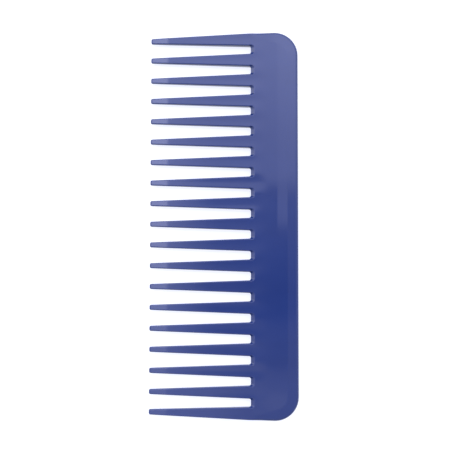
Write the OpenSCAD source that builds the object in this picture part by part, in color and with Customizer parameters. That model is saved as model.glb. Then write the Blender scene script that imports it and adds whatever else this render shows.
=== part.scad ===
// Wide tooth comb: one flat plastic moulding, drawn as its spine and its separate teeth.
// It lies flat. X runs along the row of teeth, Y from the tooth tips to the back of the
// spine, and Z through the thickness. The origin is under the middle of the comb.

/* [Comb] */
// Length along the row of teeth
comb_length = 157; // [150:1:175]
// Width from the tooth tips to the back of the spine
comb_width = 60; // [56:1:70]
// Thickness at the crest of the spine, the thickest place
comb_thickness = 3.6; // [3.4:0.1:4.4]

/* [Spine] */
// Depth of the spine from the ends of the gaps to the back edge
spine_depth = 19.1; // [18:0.1:22]
// Radius of the two outer corners, seen from above
corner_radius = 9.5; // [8.5:0.5:12]
// Angle at which each end of the spine leans in towards the teeth, in degrees
end_lean = 1.7; // [0:0.1:2]
// Width of the strip that slopes down from the crest to the outer edge
rim_width = 4.3; // [3:0.1:6]
// Thickness of the rim, where its outer edge starts to round over
rim_thickness = 3.2; // [2.8:0.1:3.4]
// Radius of the round-over along the outer edge
rim_radius = 1.1; // [0.6:0.1:1.3]
// Width of the flat crest, between the rim and the face that falls towards the teeth
crest_width = 4.2; // [3:0.1:6]
// Length of the bevel from each face down to the end of a gap
gap_bevel = 1.4; // [0.8:0.1:1.8]
// Height of the upright edge between the two bevels at the end of a gap
gap_edge = 0.9; // [0.4:0.1:1.4]

/* [Teeth] */
// Number of teeth
tooth_count = 19; // [9:1:21]
// From each end of the comb to the middle line of its end tooth
row_margin = 2.9; // [2.8:0.1:3]
// Width of a tooth at the end of the gap
root_width = 5.15; // [4.5:0.05:5.5]
// Width of a tooth at its tip, before the tip is rounded
tip_width = 2.05; // [1.6:0.05:2.4]
// Thickness of a tooth at its tip, before the tip is rounded
tip_thickness = 1.4; // [1.3:0.1:1.8]
// Length of the steeper bevel on both faces of a tip
tip_bevel = 7; // [4:0.5:10]
// Thickness of a tooth where its tip bevel starts
bevel_thickness = 2.1; // [1.9:0.1:2.6]
// Radius that rounds the end of a tip
tip_radius = 0.6; // [0.4:0.05:0.6]
// Radius along the four long edges of a tooth
edge_radius = 0.4; // [0.3:0.05:0.8]
// Outer half width of an end tooth at its tip: its outer side leans in
end_tip_outer = 0.7; // [0.6:0.05:1]
// Inner half width of an end tooth at its tip
end_tip_inner = 1.45; // [1:0.05:1.6]

/* [Hidden] */
$fn = 48;
skin = 0.01;                                   // the slices that a tooth is stretched over
past = 1;                                      // how far cutting shapes run past what they cut
mid_z = comb_thickness / 2;                    // the parting line, half way up
tip_y = -comb_width / 2;
back_y = comb_width / 2;
gap_end_y = back_y - spine_depth;
bevel_y = tip_y + tip_bevel;
pitch = (comb_length - 2 * row_margin) / (tooth_count - 1);
corner_x = comb_length / 2 - corner_radius;    // centre of a corner's arc
corner_y = back_y - corner_radius;
crest_front_y = back_y - rim_width - crest_width;
face_fall = (comb_thickness - bevel_thickness) / 2 / (crest_front_y - bevel_y);
core_overlap = 1;                              // the rim starts this far outside a corner's centre,
core_reach = 2;                                // and the core slab reaches this far past it

// Outer half width of an end tooth at the end of the gap, flush with the leaning end of the spine
end_root_outer = row_margin - corner_radius * (1 - 1 / cos(end_lean))
    - (corner_y - gap_end_y) * tan(end_lean);

function two_digits(n) = str(n < 10 ? "0" : "", n);
function tooth_name(n) = str("tooth_", two_digits(n));
function tooth_x(n) = (n - (tooth_count + 1) / 2) * pitch;

// 0 at the end of the gap and 1 at the tip
function down_tooth(y) = (gap_end_y - y) / (gap_end_y - tip_y);

// -1 on the first tooth, 1 on the last and 0 on the others
function end_side(n) = n == 1 ? -1 : n == tooth_count ? 1 : 0;

// Half width at y of the side of tooth n that faces the given side, -1 or 1
function tip_half(n, side) =
    end_side(n) == 0 ? tip_width / 2 : end_side(n) == side ? end_tip_outer : end_tip_inner;
function root_half(n, side) = end_side(n) == side ? end_root_outer : root_width / 2;
function half_width(n, side, y) =
    root_half(n, side) + (tip_half(n, side) - root_half(n, side)) * down_tooth(y);

// Thickness at y, in front of the crest: one straight taper from the crest to the tip bevel,
// through the spine and the teeth alike, and then a quicker one
function thickness(y) =
    y > bevel_y
        ? bevel_thickness + 2 * face_fall * (y - bevel_y)
        : tip_thickness + (bevel_thickness - tip_thickness) * (y - tip_y) / tip_bevel;

// Cross-section of tooth n at y, made smaller on every side by inset
module tooth_section(n, y, inset = 0) {
    left = tooth_x(n) - half_width(n, -1, y) + inset;
    right = tooth_x(n) + half_width(n, 1, y) - inset;
    half_t = thickness(y) / 2 - inset;
    r = min(edge_radius, half_t * 0.9);
    translate([left, mid_z - half_t + r])
        square([right - left, 2 * (half_t - r)]);
    translate([left + r, mid_z - half_t])
        square([right - left - 2 * r, 2 * half_t]);
    for (x = [left + r, right - r], z = [-1, 1])
        translate([x, mid_z + z * (half_t - r)])
            circle(r);
}

// A thin slice of tooth n at y
module tooth_slice(n, y, inset = 0) {
    translate([0, y, 0])
        rotate([90, 0, 0])
            linear_extrude(skin)
                tooth_section(n, y, inset);
}

// A tooth: two tapers, and a tip that rounds off in a quarter circle
module tooth(n) {
    color("darkslateblue")
        hull() {
            tooth_slice(n, gap_end_y, $fn = 16);
            tooth_slice(n, bevel_y, $fn = 16);
            for (turn = [0:30:90])
                tooth_slice(n, tip_y + skin + tip_radius * (1 - sin(turn)),
                            tip_radius * (1 - cos(turn)), $fn = 16);
        }
}

// Cross-section of the spine's outer rim, measured from the centre of a corner's arc
module rim_section() {
    crest = comb_thickness / 2;
    rim = rim_thickness / 2;
    shoulder = corner_radius - rim_radius;
    slope_start = corner_radius - rim_width;
    polygon([
        [core_overlap, crest], [slope_start, crest], [shoulder, rim],
        [shoulder, -rim], [slope_start, -crest], [core_overlap, -crest]
    ]);
    translate([core_overlap, rim_radius - rim])
        square([corner_radius - core_overlap, 2 * (rim - rim_radius)]);
    for (side = [-1, 1])
        translate([shoulder, side * (rim - rim_radius)])
            circle(rim_radius);
}

// One end of the spine: a corner turned round its centre, and the straight end edge
module spine_end() {
    translate([corner_x, corner_y, mid_z]) {
        rotate([0, 0, -end_lean])
            rotate_extrude(angle = 90 + end_lean)
                rim_section();
        rotate([0, 0, -end_lean])
            rotate([90, 0, 0])
                linear_extrude((corner_y - gap_end_y) / cos(end_lean) + past)
                    rim_section();
    }
}

// The spine's plan shape at full thickness, with its outer rim worked in
module spine_slab() {
    for (side = [0, 1])
        mirror([side, 0, 0])
            spine_end();
    translate([-corner_x, corner_y, mid_z])
        rotate([90, 0, 90])
            linear_extrude(2 * corner_x)
                rim_section();
    translate([-corner_x - core_reach, gap_end_y - past, 0])
        cube([2 * (corner_x + core_reach), corner_y + core_reach - gap_end_y + past,
              comb_thickness]);
}

// Lays a Y-Z outline down and runs it along X, from one X to another
module run_along_x(from_x, to_x) {
    translate([from_x, 0, mid_z])
        rotate([90, 0, 90])
            linear_extrude(to_x - from_x)
                children();
}

// The faces of the spine rise slowly from the ends of the gaps to the crest, and on past it
module face_wedge() {
    front = thickness(gap_end_y) / 2;
    end_y = back_y + past;
    end_height = front + face_fall * (end_y - gap_end_y);
    run_along_x(-comb_length / 2 - past, comb_length / 2 + past)
        polygon([
            [gap_end_y, front], [end_y, end_height], [end_y, -end_height], [gap_end_y, -front]
        ]);
}

// Bevels the end of the gap after tooth n on both faces, and leaves an upright edge between them
module gap_bevel_cut(n) {
    top = comb_thickness / 2 + past;
    edge = gap_edge / 2;
    cut_length = gap_bevel * (top - edge) / (thickness(gap_end_y) / 2 - edge);
    for (side = [-1, 1])
        run_along_x(tooth_x(n) + half_width(n, 1, gap_end_y),
                    tooth_x(n + 1) - half_width(n + 1, -1, gap_end_y))
            polygon([
                [gap_end_y - past, side * edge], [gap_end_y, side * edge],
                [gap_end_y + cut_length, side * top], [gap_end_y - past, side * top]
            ]);
}

// The spine: a slab with a worked rim, cut to its slowly rising faces and its bevelled gap ends
module spine() {
    color("darkslateblue")
        difference() {
            intersection() {
                spine_slab();
                face_wedge();
            }
            for (n = [1:tooth_count - 1])
                gap_bevel_cut(n);
        }
}

spine();
for (n = [1:tooth_count])
    tooth(n);
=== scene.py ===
"""The wide tooth comb's looks: one seamless moulding in glossy blue plastic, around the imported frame.

The comb's surface is made as one shape and cut into the frame's pieces: the spine, and a piece for
each tooth. Each piece is closed, and its cut lies where two pieces meet, so no joint line shows.
Lengths are in millimetres until a piece is made, and in metres from then on.
"""

import math

import bmesh
import bpy
from mathutils import Matrix, Vector


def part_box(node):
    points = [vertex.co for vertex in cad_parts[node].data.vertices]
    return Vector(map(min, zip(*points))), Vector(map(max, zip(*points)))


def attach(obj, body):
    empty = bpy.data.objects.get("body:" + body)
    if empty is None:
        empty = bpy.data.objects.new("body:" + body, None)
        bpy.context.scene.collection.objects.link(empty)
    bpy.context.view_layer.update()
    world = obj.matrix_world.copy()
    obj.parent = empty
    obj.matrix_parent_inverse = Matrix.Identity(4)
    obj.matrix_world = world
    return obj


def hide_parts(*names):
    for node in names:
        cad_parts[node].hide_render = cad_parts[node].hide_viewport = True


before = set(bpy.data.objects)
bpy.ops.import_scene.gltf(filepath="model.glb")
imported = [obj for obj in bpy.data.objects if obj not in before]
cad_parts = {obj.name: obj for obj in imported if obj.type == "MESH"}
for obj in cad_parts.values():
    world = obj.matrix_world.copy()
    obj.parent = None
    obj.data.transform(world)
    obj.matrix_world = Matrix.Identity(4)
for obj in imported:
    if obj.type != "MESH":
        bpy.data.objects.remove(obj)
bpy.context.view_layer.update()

MM = 0.001
TOOTH_COUNT = sum(name.startswith("tooth_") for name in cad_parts)

# ---------------------------------------------------------------- sizes that the frame gives


def node_box_mm(name):
    low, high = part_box(name)
    return low / MM, high / MM


def tooth_name(n):
    return f"tooth_{n:02d}"


spine_low, spine_high = node_box_mm("spine")
second_low, second_high = node_box_mm(tooth_name(2))
third_low, third_high = node_box_mm(tooth_name(3))

GAP_END_Y = spine_low.y
BACK_Y = spine_high.y
TIP_Y = second_low.y
HALF_LENGTH = spine_high.x
MID_Z = (spine_low.z + spine_high.z) / 2
CREST_HALF = (spine_high.z - spine_low.z) / 2
PITCH = (third_low.x + third_high.x - second_low.x - second_high.x) / 2
ROOT_HALF = (second_high.x - second_low.x) / 2
ROOT_HALF_THICK = (second_high.z - second_low.z) / 2

# ---------------------------------------------------------------- the comb's finer shape

TIP_HALF = 1.025            # half width of a tooth at its tip
END_TIP_OUTER = 0.7         # the same on an end tooth, whose outer side leans in
END_TIP_INNER = 1.45
TIP_HALF_THICK = 0.7
TIP_BEVEL = 7.0             # length of the steeper bevel at a tip
BEVEL_HALF_THICK = 1.05     # half thickness where that bevel starts
TIP_ROUND = 0.6             # radius at the end of a tip
EDGE_ROUND = 0.4            # radius along a tooth's long edges
DRAFT = math.radians(1)     # lean of a tooth's sides, away from the parting line
SUPPORT = 0.12              # an extra line of points this far past each rounded edge
MOST_ROUND = 0.9            # the most that an edge's radius may be, as a share of its height

CORNER_RADIUS = 9.5
END_LEAN = math.radians(1.7)
RIM_ROUND = 1.1
RIM_HALF_THICK = 1.6
RIM_WIDTH = 4.3
CREST_FRONT_Y = BACK_Y - 8.5
CREASE_BLEND = 0.008        # how much height the soft creases between the faces take up

FILLET = 0.75               # radius in the inner corners of a gap
GAP_LAND = 0.45             # half height of the small upright edge at the end of a gap
GAP_SLOPE = math.radians(40)
GAP_SHOULDER = 0.35         # radius from the gap's bevel over onto the face

SEAM_Y = GAP_END_Y - 1.0    # the teeth are cut from the spine here
WEB_Y = GAP_END_Y + 3.7     # the gaps' own patches of surface end here

CORNER_X = HALF_LENGTH - CORNER_RADIUS
CORNER_Y = BACK_Y - CORNER_RADIUS
BEVEL_Y = TIP_Y + TIP_BEVEL
FACE_FALL = (CREST_HALF - BEVEL_HALF_THICK) / (CREST_FRONT_Y - BEVEL_Y)
RIM_SLOPE = (CREST_HALF - RIM_HALF_THICK) / (RIM_WIDTH - RIM_ROUND)

TOOTH_STEP = 2.75           # between the lines of points down a tooth
TOOTH_STEPS = 12
BEVEL_OFFSETS = (0.9, 0.3, -0.3, -0.9, -2.5, -4.2)      # closer lines around the bevel's start
WALL_SUPPORT = 0.25         # an extra line this far behind the cut
ARC_STEPS = 6               # steps in each rounded edge
FILLET_STEPS = 8            # an even number: half go up beside a gap, half over its end
GAP_END_STEPS = 4
WEB_STEPS = (0.3, 0.65, 1.0)                            # from a tooth's rounded edge to its middle
RIM_STEPS = (0.215, 0.476, 0.712, 0.79, 0.843, 0.921, 1.0)  # from the rim's edge inwards
RING_WIDTH = 5.0            # how far in the rim's own band of surface reaches
SINK = 0.004                # how far the faces sink here and there, as a share of the thickness
DISH = 0.06                 # how far a face as high as the crest sinks along a tooth's middle
DISH_END = 7.0              # the dishing dies away over this length behind the ends of the gaps
WELD_DIGITS = 4             # points that agree to this many decimals are one point
CRISP_ANGLE = math.radians(32)      # a sharper turn than this is shown as a hard edge


def tooth_x(n):
    return (n - (TOOTH_COUNT + 1) / 2) * PITCH


def end_side(n):
    """-1 on the first tooth, 1 on the last and 0 on the others."""
    return -1 if n == 1 else 1 if n == TOOTH_COUNT else 0


def outline_x(y):
    """Half length of the comb at y, where its end is straight."""
    start_y = CORNER_Y - CORNER_RADIUS * math.sin(END_LEAN)
    start_x = CORNER_X + CORNER_RADIUS * math.cos(END_LEAN)
    return start_x - (start_y - y) * math.tan(END_LEAN)


END_ROOT_OUTER = outline_x(GAP_END_Y) - tooth_x(TOOTH_COUNT)


def half_width(n, side, y):
    """From tooth n's middle line to its side that faces -X or +X, at y."""
    if end_side(n) == 0:
        root, tip = ROOT_HALF, TIP_HALF
    elif end_side(n) == side:
        if y > GAP_END_Y:
            return outline_x(y) - tooth_x(TOOTH_COUNT)
        root, tip = END_ROOT_OUTER, END_TIP_OUTER
    else:
        root, tip = ROOT_HALF, END_TIP_INNER
    return root + (tip - root) * (GAP_END_Y - y) / (GAP_END_Y - TIP_Y)


def smooth_min(a, b, blend=CREASE_BLEND):
    near = max(blend - abs(a - b), 0) / blend
    return min(a, b) - near * near * blend / 4


def face_height(y):
    """Half thickness at y: the crest, one long fall to the tips, and the steeper bevel there."""
    fall = BEVEL_HALF_THICK + FACE_FALL * (y - BEVEL_Y)
    bevel = TIP_HALF_THICK + (BEVEL_HALF_THICK - TIP_HALF_THICK) * (y - TIP_Y) / TIP_BEVEL
    return smooth_min(smooth_min(CREST_HALF, fall), bevel)


def rim_height(inwards):
    """Half thickness that the rim's slope allows, at a distance in from the outline."""
    return RIM_HALF_THICK + RIM_SLOPE * (inwards - RIM_ROUND)


def rounded_edge(radius, height, lean):
    """Points (inwards, up) of a side that leans in from the parting line, and its rounded edge."""
    centre = (radius + (height - radius) * math.sin(lean)) / math.cos(lean)
    points = [(0.0, 0.0)]
    for step in range(ARC_STEPS + 1):
        turn = lean + (math.pi / 2 - lean) * step / ARC_STEPS
        points.append((centre - radius * math.cos(turn), height - radius + radius * math.sin(turn)))
    return points + [(centre + SUPPORT, height)]


def tooth_edge(height):
    return rounded_edge(min(EDGE_ROUND, MOST_ROUND * height), height, DRAFT)


def rim_edge():
    """The same for the comb's outer rim, which runs into the slope up to the crest."""
    last = math.atan(1 / RIM_SLOPE)
    points = [(0.0, 0.0)]
    for step in range(ARC_STEPS + 1):
        turn = last * step / ARC_STEPS
        points.append((RIM_ROUND * (1 - math.cos(turn)),
                       RIM_HALF_THICK - RIM_ROUND * (1 - math.sin(turn))))
    inwards = points[-1][0] + SUPPORT
    return points + [(inwards, rim_height(inwards))]


def gap_end_edge(height):
    """The same at the end of a gap: a small land, a bevel, and a broad shoulder onto the face."""
    drop = GAP_SHOULDER * (1 - math.cos(GAP_SLOPE))
    run = (height - drop - GAP_LAND) / math.tan(GAP_SLOPE)
    end = run + GAP_SHOULDER * math.sin(GAP_SLOPE)
    points = [(0.0, 0.0), (0.0, GAP_LAND)]
    for step in range(ARC_STEPS):
        turn = GAP_SLOPE * (1 - step / (ARC_STEPS - 1))
        points.append((end - GAP_SHOULDER * math.sin(turn),
                       height - GAP_SHOULDER * (1 - math.cos(turn))))
    return points + [(end + SUPPORT, height)]


def mixed(first, second, share):
    """Two lists of points, mixed point by point."""
    return [tuple(a + (b - a) * share for a, b in zip(p, q)) for p, q in zip(first, second)]


def eased(share):
    return share * share * (3 - 2 * share)


# ---------------------------------------------------------------- meshes


def sinking(x, y):
    """How much the faces sink at a place, from 0 to 1: three waves, 33 to 145 mm long."""
    crossed = math.sin(x / 11.0 + 0.9) * math.sin(y / 7.5 + 0.4)
    slanting = 0.6 * math.sin(x / 5.3 + y / 9.1)
    lengthways = 0.4 * math.sin(x / 23.0 - 1.1)
    return 0.5 + 0.25 * (crossed + slanting + lengthways)


def dishing(x, y):
    """How far the crest's height would sink here: most at a tooth's middle, none in mid-gap."""
    behind = (y - GAP_END_Y) / DISH_END
    fade = 1 - eased(min(max(behind, 0), 1))
    return DISH * fade * (0.5 + 0.5 * math.cos(2 * math.pi * (x - tooth_x(1)) / PITCH))


def sunk(x, y, z):
    """The height z with the slow unevenness of a moulding and the dishing taken off."""
    return z * (1 - SINK * sinking(x, y) - dishing(x, y) / CREST_HALF)


class Moulding:
    """Gathers a closed surface from grids of points on its upper half, and mirrors each below."""

    def __init__(self):
        self.places = {}
        self.points = []
        self.faces = []

    def corner(self, point):
        x, y, z = point
        key = tuple(round(value, WELD_DIGITS) for value in point)
        if key not in self.places:
            self.places[key] = len(self.points)
            self.points.append((x * MM, y * MM, (sunk(x, y, z) + MID_Z) * MM))
        return self.places[key]

    def face(self, corners):
        ring = []
        for corner in map(self.corner, corners):
            if corner not in ring:
                ring.append(corner)
        if len(ring) > 2:
            self.faces.append(ring)

    def grid(self, rows):
        """A grid of the upper half, and its mirror image in the parting line."""
        for side in (1, -1):
            for lower, upper in zip(rows, rows[1:]):
                for k in range(len(lower) - 1):
                    quad = (lower[k], lower[k + 1], upper[k + 1], upper[k])
                    self.face([(x, y, z * side) for x, y, z in quad])

    def cap(self, row):
        """Closes the end of a tooth or of a stub, between the upper row and the lower one."""
        for (x1, y1, z1), (x2, y2, z2) in zip(row, row[1:]):
            self.face([(x1, y1, z1), (x2, y2, z2), (x2, y2, -z2), (x1, y1, -z1)])

    def make(self, name):
        """The object. Edges stay crisp round its flat cuts and wherever the surface turns hard."""
        built = bmesh.new()
        corners = [built.verts.new(point) for point in self.points]
        for ring in self.faces:
            built.faces.new([corners[corner] for corner in ring])
        bmesh.ops.recalc_face_normals(built, faces=built.faces)
        for face in built.faces:
            face.smooth = True
        for edge in built.edges:
            edge.smooth = edge.calc_face_angle(0) < CRISP_ANGLE
        mesh = bpy.data.meshes.new(name)
        built.to_mesh(mesh)
        built.free()
        piece = bpy.data.objects.new(name, mesh)
        bpy.context.scene.collection.objects.link(piece)
        return piece


def half_section(n, side, y, inset=0.0):
    """Points (x, z) of tooth n's upper half at y, from its side edge to its middle line."""
    height = face_height(y) - inset
    width = half_width(n, side, y) - inset
    edge = tooth_edge(height)
    steps = RIM_STEPS if end_side(n) == side else WEB_STEPS
    reach = edge[-1][0]
    inner = [(reach + (width - reach) * step, height) for step in steps]
    return [(tooth_x(n) + side * (width - inwards), up) for inwards, up in edge + inner]


def tooth_row(n, y, inset=0.0):
    """Tooth n's upper half at y, from its -X side to its +X side."""
    left = half_section(n, -1, y, inset)
    right = half_section(n, 1, y, inset)
    return [(x, y, z) for x, z in left + right[-2::-1]]


def tooth_stations():
    """Pairs (y, inset) down a tooth: even steps, closer ones at the bevel, and the rounded end."""
    stations = [(SEAM_Y - TOOTH_STEP * step, 0.0) for step in range(TOOTH_STEPS)]
    stations += [(BEVEL_Y + offset, 0.0) for offset in BEVEL_OFFSETS]
    for step in range(ARC_STEPS + 1):
        turn = math.pi / 2 * step / ARC_STEPS
        stations.append((TIP_Y + TIP_ROUND * (1 - math.sin(turn)),
                         TIP_ROUND * (1 - math.cos(turn))))
    return stations


def make_tooth(n):
    tooth = Moulding()
    rows = [tooth_row(n, y, inset) for y, inset in tooth_stations()]
    tooth.grid(rows)
    tooth.cap(rows[0])
    tooth.cap(rows[-1])
    return tooth.make(f"comb_{tooth_name(n)}")


# Lines of points along a stub of tooth on the spine: beside the gap, and on past the fillet
WALL_YS = (SEAM_Y, SEAM_Y + WALL_SUPPORT, GAP_END_Y - FILLET)
HALF_FILLET = FILLET_STEPS // 2
STUB_YS = WALL_YS + tuple(WALL_YS[-1] + (WEB_Y - WALL_YS[-1]) * step / HALF_FILLET
                          for step in range(1, HALF_FILLET + 1))


def gap_columns(n):
    """X of each line of points that leaves gap n's patch for the back, from tooth n's middle."""
    start, end = tooth_x(n), tooth_x(n + 1)
    left = start + half_width(n, 1, WALL_YS[-1]) + FILLET
    right = end - half_width(n + 1, -1, WALL_YS[-1]) - FILLET
    columns = [start + (left - start) * step / HALF_FILLET for step in range(HALF_FILLET)]
    columns += [left + (right - left) * step / GAP_END_STEPS for step in range(GAP_END_STEPS)]
    columns += [right + (end - right) * step / HALF_FILLET for step in range(HALF_FILLET)]
    return columns + [end]


def web_line(start, towards, edge, goal):
    """A line of points from the parting line at the gap, over its edge, and on to the goal."""
    points = [(start[0] + towards[0] * inwards, start[1] + towards[1] * inwards, up)
              for inwards, up in edge]
    x, y, _ = points[-1]
    for step in WEB_STEPS:
        there_y = y + (goal[1] - y) * step
        points.append((x + (goal[0] - x) * step, there_y, face_height(there_y)))
    return points


def lifted(edge, start_y, towards_y):
    """An edge made for the face's height at a gap's end, fitted to the height above each point."""
    root_height = face_height(GAP_END_Y)
    points = []
    for inwards, up in edge:
        rise = face_height(start_y + towards_y * inwards) / root_height
        points.append((inwards, up * rise))
    return points


def wall_lines(tooth, side):
    """Lines from a tooth's straight side to its middle, along its stub on the spine."""
    middle = tooth_x(tooth)
    lines = []
    for y in WALL_YS:
        wall = (middle + side * half_width(tooth, side, y), y)
        lines.append(web_line(wall, (-side, 0), tooth_edge(face_height(y)), (middle, y)))
    return lines


def fillet_lines(tooth, side, columns):
    """Lines from the fillet beside a tooth: half go to its middle, half to the nearest columns."""
    root_height = face_height(GAP_END_Y)
    middle = tooth_x(tooth)
    centre_x = middle + side * (half_width(tooth, side, WALL_YS[-1]) + FILLET)
    lines = []
    for step in range(1, FILLET_STEPS + 1):
        turn = math.pi / 2 * step / FILLET_STEPS
        towards = (-side * math.cos(turn), math.sin(turn))
        start = (centre_x + FILLET * towards[0], WALL_YS[-1] + FILLET * towards[1])
        share = eased(step / FILLET_STEPS)
        edge = mixed(tooth_edge(root_height), gap_end_edge(root_height), share)
        if step <= HALF_FILLET:
            goal = (middle, STUB_YS[len(WALL_YS) - 1 + step])
        else:
            goal = (columns[step - HALF_FILLET], WEB_Y)
        lines.append(web_line(start, towards, lifted(edge, start[1], towards[1]), goal))
    return lines


def gap_patch(n):
    """The surface round the end of gap n, from tooth n's middle line to the next tooth's."""
    columns = gap_columns(n)
    left = wall_lines(n, 1) + fillet_lines(n, 1, columns)
    right = wall_lines(n + 1, -1) + fillet_lines(n + 1, -1, columns[::-1])
    edge = lifted(gap_end_edge(face_height(GAP_END_Y)), GAP_END_Y, 1)
    across = []
    for step in range(1, GAP_END_STEPS):
        x = columns[HALF_FILLET + step]
        across.append(web_line((x, GAP_END_Y), (0, 1), edge, (x, WEB_Y)))
    return left + across + right[::-1]


def rim_line(start, towards, reach, share_of_rim, height):
    """A line of points from the outline inwards, over the rim's edge, to reach."""
    edge = mixed(tooth_edge(height), rim_edge(), share_of_rim)
    first = edge[-1][0]
    edge += [(first + (reach - first) * step, None) for step in RIM_STEPS]
    points = []
    for inwards, up in edge:
        x = start[0] + towards[0] * inwards
        y = start[1] + towards[1] * inwards
        ceiling = face_height(y)
        slope = smooth_min(ceiling, rim_height(inwards)) if inwards > RIM_ROUND else ceiling
        ceiling += (slope - ceiling) * share_of_rim
        points.append((x, y, ceiling if up is None else min(up, ceiling)))
    return points


# Lines of points on the straight part of an end, and then round the corner from end to back
END_YS = (16.0, 17.6, 19.0)
CORNER_DEGREES = (3, 7, 10, 11.6, 14, 17, 21, 27, 34, 42, 50, 58, 66, 74, 82, 90)
CORNER_TURNS = (-END_LEAN,) + tuple(math.radians(degrees) for degrees in CORNER_DEGREES)


def end_rows(side):
    """Lines of points from the outline inwards, from the end tooth's stub round to the back."""
    n = 1 if side < 0 else TOOTH_COUNT
    middle = tooth_x(n)
    rows = []
    for y in STUB_YS + END_YS:
        share = eased(min((y - SEAM_Y) / (WEB_Y - SEAM_Y), 1))
        width = half_width(n, side, y)
        if y > WEB_Y:
            wider = (y - WEB_Y) / (CORNER_Y - WEB_Y)
            width += (RING_WIDTH - width) * wider
        start = (middle + side * half_width(n, side, y), y)
        rows.append(rim_line(start, (-side, 0), width, share, face_height(y)))
    for turn in CORNER_TURNS:
        out = (side * math.cos(turn), math.sin(turn))
        start = (side * CORNER_X + CORNER_RADIUS * out[0], CORNER_Y + CORNER_RADIUS * out[1])
        rows.append(rim_line(start, (-out[0], -out[1]), RING_WIDTH, 1, CREST_HALF))
    return rows


def core_rows(left_rows, right_rows, columns):
    """The surface between the two ends' bands, row by row from the gap patches to the back."""
    rows = []
    for left, right in zip(left_rows, right_rows):
        (x_left, y, _), (x_right, _, _) = left[-1], right[-1]
        row = []
        for x in columns:
            share = (x - columns[0]) / (columns[-1] - columns[0])
            row.append((x_left + (x_right - x_left) * share, y, face_height(y)))
        row[0], row[-1] = left[-1], right[-1]
        rows.append(row)
    return rows


def make_spine():
    spine = Moulding()
    columns = [tooth_x(1)]
    for n in range(1, TOOTH_COUNT):
        spine.grid(gap_patch(n))
        columns += gap_columns(n)[1:]
    left_rows, right_rows = end_rows(-1), end_rows(1)
    spine.grid(left_rows)
    spine.grid(right_rows)
    behind_gaps = len(STUB_YS) - 1
    core = core_rows(left_rows[behind_gaps:], right_rows[behind_gaps:], columns)
    spine.grid(core)
    spine.grid([rim_line((x, BACK_Y), (0, -1), RING_WIDTH, 1, CREST_HALF) for x, _, _ in core[-1]])
    for n in range(1, TOOTH_COUNT + 1):
        spine.cap(tooth_row(n, SEAM_Y))
    return spine.make("comb_spine")


# ---------------------------------------------------------------- node helpers


class Nodes:
    """Adds nodes to a tree and joins them, so that a formula reads as one."""

    def __init__(self, tree):
        self.tree = tree
        tree.nodes.clear()

    def add(self, kind, inputs=None, **settings):
        node = self.tree.nodes.new(kind)
        for name, value in settings.items():
            setattr(node, name, value)
        for socket, value in (inputs or {}).items():
            self.set(node.inputs[socket], value)
        return node

    def set(self, socket, value):
        if isinstance(value, bpy.types.NodeSocket):
            self.tree.links.new(value, socket)
        else:
            socket.default_value = value

    def math(self, operation, a, b=0.0):
        return self.add("ShaderNodeMath", {0: a, 1: b}, operation=operation).outputs[0]

    def times(self, a, b):
        return self.math("MULTIPLY", a, b)

    def plus(self, a, b):
        return self.math("ADD", a, b)

    def away(self, value, middle):
        """How far value is from middle, to either side."""
        return self.math("ABSOLUTE", self.math("SUBTRACT", value, middle))

    def ramp(self, value, start, end, low=0.0, high=1.0):
        """low where value is at start, high at end, and smooth between."""
        inputs = {"Value": value, "From Min": start, "From Max": end, "To Min": low, "To Max": high}
        node = self.add("ShaderNodeMapRange", inputs, interpolation_type="SMOOTHSTEP")
        return node.outputs["Result"]

    def mix(self, share, a, b):
        """a where share is 0, b where it is 1."""
        return self.plus(a, self.times(share, self.math("SUBTRACT", b, a)))

    def colour(self, share, a, b):
        node = self.add("ShaderNodeMix", data_type="RGBA")
        self.set(node.inputs[0], share)
        self.set(node.inputs[6], a)
        self.set(node.inputs[7], b)
        return node.outputs[2]

    def noise(self, place, scale, detail, roughness):
        inputs = {"Vector": place, "Scale": scale, "Detail": detail, "Roughness": roughness}
        return self.add("ShaderNodeTexNoise", inputs).outputs["Fac"]

    def stretched(self, place, scale):
        return self.add("ShaderNodeMapping", {"Vector": place, "Scale": scale}).outputs[0]

    def bump(self, height, strength, depth, below=None, invert=False):
        """Relief of this depth in metres, on top of the relief below it."""
        inputs = {"Height": height, "Strength": strength, "Distance": depth}
        if below is not None:
            inputs["Normal"] = below
        return self.add("ShaderNodeBump", inputs, invert=invert).outputs[0]


# ---------------------------------------------------------------- materials


PLASTIC = (0.0167, 0.0334, 0.1280, 1.0)
PLASTIC_DEEP = (0.0150, 0.0303, 0.1190, 1.0)    # in the flow marks
PLASTIC_IOR = 1.5
FLOW_STRETCH = (60, 18, 60)             # noise cells to the metre, along X, Y and Z
FLOW_MARKS = (0.3, 0.7)                 # the noise's range that becomes flow marks
HAIRLINE_STRETCH = (2600, 90, 900)
HAIRLINES = (0.66, 0.78)
GLOSS = (0.35, 0.7, 0.050, 0.085)       # the noise's range, and the roughness it gives
SCRATCH_ROUGHNESS = 0.05
RIPPLE_DEPTH = 0.00002                  # in metres, as are the next two
GRAIN_DEPTH = 0.000004
SCRATCH_DEPTH = 0.000004

FLOOR_BASE = (0.3, 0.3, 0.3, 1)
FLOOR_TINT = (0.95, 0.98, 1.1, 1)
FLOOR_GLOW = 0.8


def flow_colour(nodes, place):
    """Slight flow marks, drawn out along the teeth."""
    flow = nodes.noise(nodes.stretched(place, FLOW_STRETCH), 1.0, 3.0, 0.55)
    return nodes.colour(nodes.ramp(flow, *FLOW_MARKS), PLASTIC, PLASTIC_DEEP)


def relief(nodes, place, scratch):
    """Fine ripples, a finer grain, and the scratches cut into both."""
    ripple = nodes.noise(place, 160.0, 2.0, 0.4)
    grain = nodes.noise(place, 1500.0, 3.0, 0.5)
    rippled = nodes.bump(ripple, 0.35, RIPPLE_DEPTH)
    grained = nodes.bump(grain, 0.25, GRAIN_DEPTH, rippled)
    return nodes.bump(scratch, 0.3, SCRATCH_DEPTH, grained, invert=True)


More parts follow.
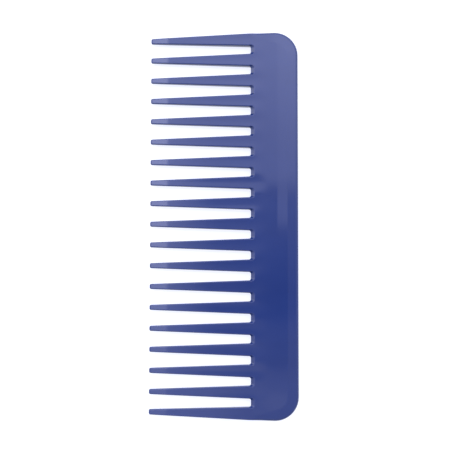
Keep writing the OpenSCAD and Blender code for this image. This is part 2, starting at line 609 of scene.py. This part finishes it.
def blue_plastic():
    """Glossy moulded plastic, with a softly uneven, used gloss."""
    material = bpy.data.materials.new("comb_blue_plastic")
    material.use_nodes = True
    nodes = Nodes(material.node_tree)
    place = nodes.add("ShaderNodeTexCoord").outputs["Object"]

    hairlines = nodes.noise(nodes.stretched(place, HAIRLINE_STRETCH), 1.0, 2.0, 0.5)
    scratch = nodes.ramp(hairlines, *HAIRLINES)
    gloss = nodes.ramp(nodes.noise(place, 70.0, 4.0, 0.6), *GLOSS)
    shader = nodes.add("ShaderNodeBsdfPrincipled", {
        "Base Color": flow_colour(nodes, place),
        "Roughness": nodes.plus(gloss, nodes.times(scratch, SCRATCH_ROUGHNESS)),
        "IOR": PLASTIC_IOR,
        "Normal": relief(nodes, place, scratch)})
    nodes.add("ShaderNodeOutputMaterial", {"Surface": shader.outputs[0]})
    return material


def floor_material():
    """A plain white sheet that glows a little, like a light table, so shadows on it are faint."""
    material = bpy.data.materials.new("floor_white")
    material.use_nodes = True
    nodes = Nodes(material.node_tree)
    shader = nodes.add("ShaderNodeBsdfPrincipled", {
        "Base Color": FLOOR_BASE, "Roughness": 0.9, "Specular IOR Level": 0.0,
        "Emission Color": FLOOR_TINT, "Emission Strength": FLOOR_GLOW})
    nodes.add("ShaderNodeOutputMaterial", {"Surface": shader.outputs[0]})
    return material


# ---------------------------------------------------------------- stage, light and camera

FLOOR_SIZE = 8.0            # metres


def make_floor():
    half = FLOOR_SIZE / 2
    mesh = bpy.data.meshes.new("floor")
    corners = [(-half, -half, 0), (half, -half, 0), (half, half, 0), (-half, half, 0)]
    mesh.from_pydata(corners, [], [(0, 1, 2, 3)])
    floor = bpy.data.objects.new("floor", mesh)
    bpy.context.scene.collection.objects.link(floor)
    mesh.materials.append(floor_material())


# The studio, shaped so that the comb mirrors each part of it where it should. A direction
# is given by its slopes, X over Z along the comb and Y over Z across it. A range with four
# numbers is where the change starts and ends, and then the values there; one with two numbers is
# where the share goes from 0 to 1.
LOWEST_UP = 0.02                                # keeps the slopes finite at the horizon

SOFTBOX_ALONG = (-0.32, -0.125, 2.75, 1.55)     # the big softbox on the -X side
SOFTBOX_ACROSS = (0.012, 0.034, 1.0, 1.13)
WEAK_ACROSS = (-0.01, -0.09, 0.63, 1.2)         # the weaker light on the +X side
SPOT_MIDDLE = (0.139, 0.014)                    # and the bright spot in it: slopes along, across
SPOT_ALONG = (0.017, 0.010)
SPOT_ACROSS = (0.045, 0.030)
SPOT_LIGHT = 0.32
OPENING_LEFT = (-0.103, -0.121)                 # the edges of the dark opening between the two
OPENING_RIGHT = (0.097, 0.106)
GLIMMER_LEFT = (-0.11, 0.035, 0.47, 0.0)        # the faint light inside it
GLIMMER_RIGHT = (0.03, 0.06, 0.0, 0.28)
GLIMMER_MIDDLE = 0.03
GLIMMER_ACROSS = (0.03, 0.09, 0.0, 0.22)
STRIP_MIDDLE = 0.055                            # a narrow lit strip, above the crest
STRIP_ACROSS = (0.045, 0.033)
STRIP_ALONG = (-0.058, -0.070)
STRIP_LIGHT = 1.25
SIDE_LIGHTS = (                                 # where each takes over across, its light along
    ((-0.07, -0.145), (-0.16, 0.16, 2.5, 1.35)),    # beyond the tips
    ((-0.135, -0.19), (-0.16, 0.16, 4.7, 1.8)),     # and where the tips' bevels look
    ((0.23, 0.33), (-0.30, -0.04, 2.5, 0.7)))       # beyond the back
DOME_FROM = (0.35, 0.8)                         # takes over at this slope, to any side
DOME_ALONG = (-0.42, -0.04, 2.45, 0.66)
LOW_SKY = ((0.55, 0.30), 0.6)                   # takes over below this height, and its light
HORIZON = ((0.27, 0.21), 1.06)
LAMP_SIDEWAYS = (0.6, 0.35)                     # a lamp low beyond the tips: X over -Y,
LAMP_FOOT = (0.08, 0.14)                        # its lower and upper end,
LAMP_TOP = (0.42, 0.32)
LAMP_AHEAD = (-0.3, -0.6)                       # the Y from which it shows,
LAMP_NEAREST_Y = -0.1
LAMP_LIGHT = (0.35, -0.15, 2.9, 1.1)            # and its light from side to side

COOL = (1.0, 1.03, 1.34, 1.0)       # the colour of most of the studio's light
NEUTRAL = (1.0, 0.96, 0.86, 1.0)    # and of the light past the opening's +X edge
WHITE = (1, 1, 1, 1)                # and near the horizon
NEUTRAL_ALONG = (0.02, 0.09)
NEUTRAL_ACROSS = (-0.12, -0.03)
WHITE_BELOW = (0.6, 0.1)


def overhead_light(nodes, along, across):
    """The softbox and the weaker light, the dark opening between them, and the strip."""
    softbox = nodes.times(nodes.ramp(along, *SOFTBOX_ALONG), nodes.ramp(across, *SOFTBOX_ACROSS))
    spot = nodes.times(nodes.ramp(nodes.away(along, SPOT_MIDDLE[0]), *SPOT_ALONG),
                       nodes.ramp(nodes.away(across, SPOT_MIDDLE[1]), *SPOT_ACROSS))
    weak = nodes.plus(nodes.ramp(across, *WEAK_ACROSS), nodes.times(spot, SPOT_LIGHT))
    glimmer = nodes.math("MAXIMUM", nodes.ramp(along, *GLIMMER_LEFT),
                         nodes.ramp(along, *GLIMMER_RIGHT))
    glimmer = nodes.plus(glimmer, nodes.ramp(nodes.away(across, GLIMMER_MIDDLE), *GLIMMER_ACROSS))
    light = nodes.mix(nodes.ramp(along, *OPENING_LEFT), glimmer, softbox)
    light = nodes.mix(nodes.ramp(along, *OPENING_RIGHT), light, weak)
    strip = nodes.times(nodes.ramp(nodes.away(across, STRIP_MIDDLE), *STRIP_ACROSS),
                        nodes.ramp(along, *STRIP_ALONG))
    return nodes.math("MAXIMUM", light, nodes.times(strip, STRIP_LIGHT))


def with_low_lamp(nodes, way, light):
    """Adds the lamp low beyond the tips, which the bevels at the gaps' ends mirror."""
    sideways = nodes.math("DIVIDE", way["X"], nodes.math("MINIMUM", way["Y"], LAMP_NEAREST_Y))
    height = nodes.times(nodes.ramp(way["Z"], *LAMP_FOOT), nodes.ramp(way["Z"], *LAMP_TOP))
    beside = nodes.ramp(nodes.math("ABSOLUTE", sideways), *LAMP_SIDEWAYS)
    share = nodes.times(nodes.times(beside, height), nodes.ramp(way["Y"], *LAMP_AHEAD))
    return nodes.mix(share, light, nodes.ramp(sideways, *LAMP_LIGHT))


def studio_tint(nodes, way, along, across):
    neutral = nodes.times(nodes.ramp(along, *NEUTRAL_ALONG), nodes.ramp(across, *NEUTRAL_ACROSS))
    tint = nodes.colour(neutral, COOL, NEUTRAL)
    return nodes.colour(nodes.ramp(way["Z"], *WHITE_BELOW), tint, WHITE)


def make_world():
    """A pale studio all round, with a dark opening overhead, where the camera looks through."""
    world = bpy.data.worlds.new("studio")
    bpy.context.scene.world = world
    world.use_nodes = True
    nodes = Nodes(world.node_tree)
    direction = nodes.add("ShaderNodeTexCoord").outputs["Generated"]
    way = nodes.add("ShaderNodeSeparateXYZ", {0: direction}).outputs
    up = nodes.math("MAXIMUM", way["Z"], LOWEST_UP)
    along = nodes.math("DIVIDE", way["X"], up)
    across = nodes.math("DIVIDE", way["Y"], up)

    light = overhead_light(nodes, along, across)
    for takes_over, brightness in SIDE_LIGHTS:
        share = nodes.ramp(across, *takes_over)
        light = nodes.mix(share, light, nodes.ramp(along, *brightness))
    squares = nodes.plus(nodes.math("POWER", along, 2.0), nodes.math("POWER", across, 2.0))
    steepness = nodes.math("SQRT", squares)
    dome = nodes.ramp(along, *DOME_ALONG)
    light = nodes.mix(nodes.ramp(steepness, *DOME_FROM), light, dome)
    for takes_over, brightness in (LOW_SKY, HORIZON):
        light = nodes.mix(nodes.ramp(way["Z"], *takes_over), light, brightness)
    light = with_low_lamp(nodes, way, light)

    tint = studio_tint(nodes, way, along, across)
    sky = nodes.add("ShaderNodeBackground", {"Color": tint, "Strength": light})
    nodes.add("ShaderNodeOutputWorld", {"Surface": sky.outputs[0]})


# The camera looks down on the comb, whose back is to the right and whose first tooth is on top
CAMERA_DISTANCE = 350.0     # mm, from the middle of the comb
CAMERA_LENS = 68.8          # mm
CAMERA_SENSOR = 36.0        # mm wide
CAMERA_CLIP = (0.01, 50.0)  # metres
TOP_AWAY = math.radians(3.70)
RIGHT_NEARER = math.radians(1.65)
ROLL = math.radians(-0.087)
AIM_RIGHT = 0.83            # mm: the comb's middle lies this far left of the picture's middle
AIM_DOWN = 0.72             # mm: and this far above it


def make_camera():
    data = bpy.data.cameras.new("camera")
    data.sensor_width = CAMERA_SENSOR
    data.lens = CAMERA_LENS
    data.clip_start, data.clip_end = CAMERA_CLIP
    # seen axes: to the right, up, and towards the camera
    seen = Matrix(((0, 1, 0), (-1, 0, 0), (0, 0, 1)))
    roll = Matrix.Rotation(ROLL, 3, "Z")
    yaw = Matrix.Rotation(-RIGHT_NEARER, 3, "Y")
    pitch = Matrix.Rotation(-TOP_AWAY, 3, "X")
    turned = pitch @ yaw @ roll @ seen
    middle = Vector((0, 0, MID_Z))
    offset = Vector((AIM_RIGHT, -AIM_DOWN, CAMERA_DISTANCE))
    camera = bpy.data.objects.new("camera", data)
    bpy.context.scene.collection.objects.link(camera)
    back = turned.transposed()
    camera.matrix_world = Matrix.Translation((middle + back @ offset) * MM) @ back.to_4x4()
    bpy.context.scene.camera = camera


def dress(piece, node, material):
    """Gives a piece its material and its place in the frame, and hides the node it stands for."""
    piece.data.materials.append(material)
    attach(piece, "root")
    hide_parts(node)


plastic = blue_plastic()
dress(make_spine(), "spine", plastic)
for number in range(1, TOOTH_COUNT + 1):
    dress(make_tooth(number), tooth_name(number), plastic)

make_floor()
make_world()
make_camera()
bpy.context.scene.view_settings.view_transform = "Standard"
bpy.context.scene.view_settings.look = "None"
